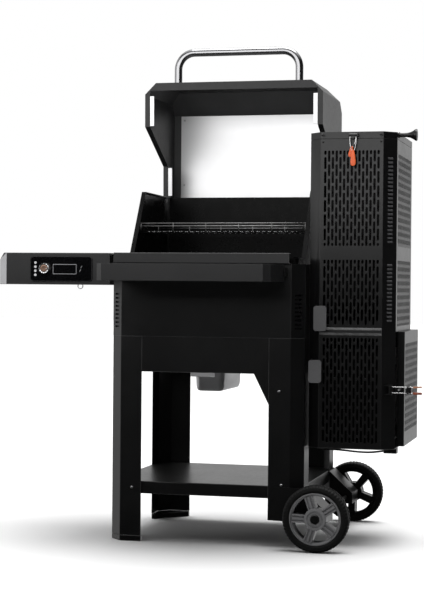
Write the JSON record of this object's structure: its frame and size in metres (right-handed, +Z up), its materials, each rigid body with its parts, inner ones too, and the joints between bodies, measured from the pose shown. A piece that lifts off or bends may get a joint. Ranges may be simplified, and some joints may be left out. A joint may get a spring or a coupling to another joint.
{
  "type": "gravity-fed charcoal smoker grill",
  "caption": "Wheeled smoker grill with a hinged lid, control shelf at the left, folding front shelf and a tall charcoal hopper tower at the right.",
  "frame": {"origin": "on the floor under the middle of the machine's box", "axes": "+Z up, -Y to the front where the cook stands, +X to the right towards the charcoal tower"},
  "size_m": [1.333, 0.955, 1.5707],
  "materials": {
    "powder_coat": "satin black powder coat with a fine texture",
    "dark_enamel": "black high-heat enamel",
    "stainless": "fine brushed",
    "chrome": "polished",
    "latch_wire": "polished wire with orange silicone sleeves",
    "cast_iron": "seasoned cast iron",
    "aluminium": "pressed foil-like sheet, satin",
    "tyre": "moulded rubber with a block tread",
    "wheel_grey": "moulded grey plastic",
    "tab_grey": "moulded light grey plastic",
    "black_plastic": "moulded black plastic",
    "gloss_panel": "glossy black",
    "dial_metal": "black dial with a metal-coloured ring and centre",
    "button_white": "pale grey rubber-like buttons"
  },
  "bodies": {
    "stand_and_cabinet": {"left_legs": "powder_coat", "right_legs": "powder_coat", "apron_rails": "powder_coat", "bottom_shelf": "powder_coat", "wheel_bracket": "powder_coat", "cabinet_shell": "powder_coat", "side_shelf": "powder_coat", "front_ledge": "powder_coat", "shelf_brackets": "powder_coat", "tower_casing": "powder_coat", "front_upper_panel": "powder_coat", "front_lower_panel": "powder_coat", "front_cross_bar": "powder_coat", "tower_side_panel": "powder_coat", "tray_runners": "powder_coat", "tower_hardware": "powder_coat", "firebox_side_walls": "dark_enamel", "firebox_front_and_back": "dark_enamel", "firebox_floor": "dark_enamel", "heat_manifold": "dark_enamel", "charcoal_hopper": "dark_enamel", "ash_bin": "dark_enamel", "warming_rack": "chrome", "tool_hook": "chrome", "axle": "chrome", "lid_pivot_bolts": "chrome", "cooking_grates": "cast_iron", "fire_grate": "cast_iron", "foot_caps": "black_plastic", "blower_housing": "black_plastic", "blower_cable": "black_plastic", "cable_gland": "black_plastic", "power_inlet": "black_plastic", "screws": "black_plastic", "control_panel": "gloss_panel", "display_window": "gloss_panel"},
    "lid": {"lid_shell": "powder_coat", "lid_liner": "stainless", "lid_rim_strips": "stainless", "lid_hinge_arms": "powder_coat", "lid_handle": "chrome"},
    "folding_shelf": {"front_shelf": "powder_coat"},
    "hopper_cover": {"hopper_lid": "powder_coat", "hopper_lid_knob": "black_plastic"},
    "hopper_catch": {"hopper_latch": "latch_wire"},
    "ash_door": {"ash_door": "powder_coat"},
    "door_catch": {"door_latch": "latch_wire"},
    "grease_tray": {"grease_tray": "aluminium"},
    "upper_shutter": {"upper_shutter": "tab_grey"},
    "lower_shutter": {"lower_shutter": "tab_grey"},
    "front_wheel": {"front_wheel_rim": "wheel_grey", "front_wheel_tyre": "tyre"},
    "rear_wheel": {"rear_wheel_rim": "wheel_grey", "rear_wheel_tyre": "tyre"},
    "dial": {"control_dial": "dial_metal"},
    "button_1": {"push_button_1": "button_white"},
    "button_2": {"push_button_2": "button_white"},
    "button_3": {"push_button_3": "button_white"},
    "button_4": {"push_button_4": "button_white"},
    "blower_rotor": {"blower_rotor": "black_plastic"}
  },
  "joints": [
    {"name": "lid_hinge", "type": "hinge", "parent": "stand_and_cabinet", "child": "lid", "pos_m": [0.009, 0.2415, 0.979], "axis": [1, 0, 0], "range_deg": [0, 84.5]},
    {"name": "front_shelf_fold", "type": "hinge", "parent": "stand_and_cabinet", "child": "folding_shelf", "pos_m": [0.0005, -0.2645, 0.83], "axis": [1, 0, 0], "range_deg": [0, 90]},
    {"name": "hopper_lid_hinge", "type": "hinge", "parent": "stand_and_cabinet", "child": "hopper_cover", "pos_m": [0.4512, 0.2305, 1.2335], "axis": [-1, 0, 0], "range_deg": [0, 100]},
    {"name": "hopper_latch_swing", "type": "hinge", "parent": "hopper_cover", "child": "hopper_catch", "pos_m": [0.456, -0.205, 1.243], "axis": [-1, 0, 0], "range_deg": [0, 120]},
    {"name": "ash_door_hinge", "type": "hinge", "parent": "stand_and_cabinet", "child": "ash_door", "pos_m": [0.59395, 0.2165, 0.48], "axis": [0, 0, 1], "range_deg": [0, 110]},
    {"name": "door_latch_swing", "type": "hinge", "parent": "stand_and_cabinet", "child": "door_catch", "pos_m": [0.572, -0.184, 0.481], "axis": [0, 0, -1], "range_deg": [0, 90]},
    {"name": "grease_tray_slide", "type": "slide", "parent": "stand_and_cabinet", "child": "grease_tray", "axis": [0, -1, 0], "range_m": [0, 0.22]},
    {"name": "upper_shutter_slide", "type": "slide", "parent": "stand_and_cabinet", "child": "upper_shutter", "axis": [0, -1, 0], "range_m": [0, 0.2]},
    {"name": "lower_shutter_slide", "type": "slide", "parent": "stand_and_cabinet", "child": "lower_shutter", "axis": [0, -1, 0], "range_m": [0, 0.2]},
    {"name": "front_wheel_spin", "type": "hinge", "parent": "stand_and_cabinet", "child": "front_wheel", "pos_m": [0.368, -0.2835, 0.1], "axis": [0, 1, 0], "continuous": true},
    {"name": "rear_wheel_spin", "type": "hinge", "parent": "stand_and_cabinet", "child": "rear_wheel", "pos_m": [0.368, 0.4065, 0.1], "axis": [0, 1, 0], "continuous": true},
    {"name": "control_dial_turn", "type": "hinge", "parent": "stand_and_cabinet", "child": "dial", "pos_m": [-0.5015, -0.25, 0.8375], "axis": [0, 1, 0], "continuous": true},
    {"name": "push_button_1_press", "type": "slide", "parent": "stand_and_cabinet", "child": "button_1", "axis": [0, 1, 0], "range_m": [0, 0.001], "stiffness_N_per_m": 400, "springref_m": -0.001},
    {"name": "push_button_2_press", "type": "slide", "parent": "stand_and_cabinet", "child": "button_2", "axis": [0, 1, 0], "range_m": [0, 0.001], "stiffness_N_per_m": 400, "springref_m": -0.001},
    {"name": "push_button_3_press", "type": "slide", "parent": "stand_and_cabinet", "child": "button_3", "axis": [0, 1, 0], "range_m": [0, 0.001], "stiffness_N_per_m": 400, "springref_m": -0.001},
    {"name": "push_button_4_press", "type": "slide", "parent": "stand_and_cabinet", "child": "button_4", "axis": [0, 1, 0], "range_m": [0, 0.001], "stiffness_N_per_m": 400, "springref_m": -0.001},
    {"name": "blower_spin", "type": "hinge", "parent": "stand_and_cabinet", "child": "blower_rotor", "pos_m": [0.5535, -0.03, 0.289], "axis": [0, 0, 1], "continuous": true}
  ]
}
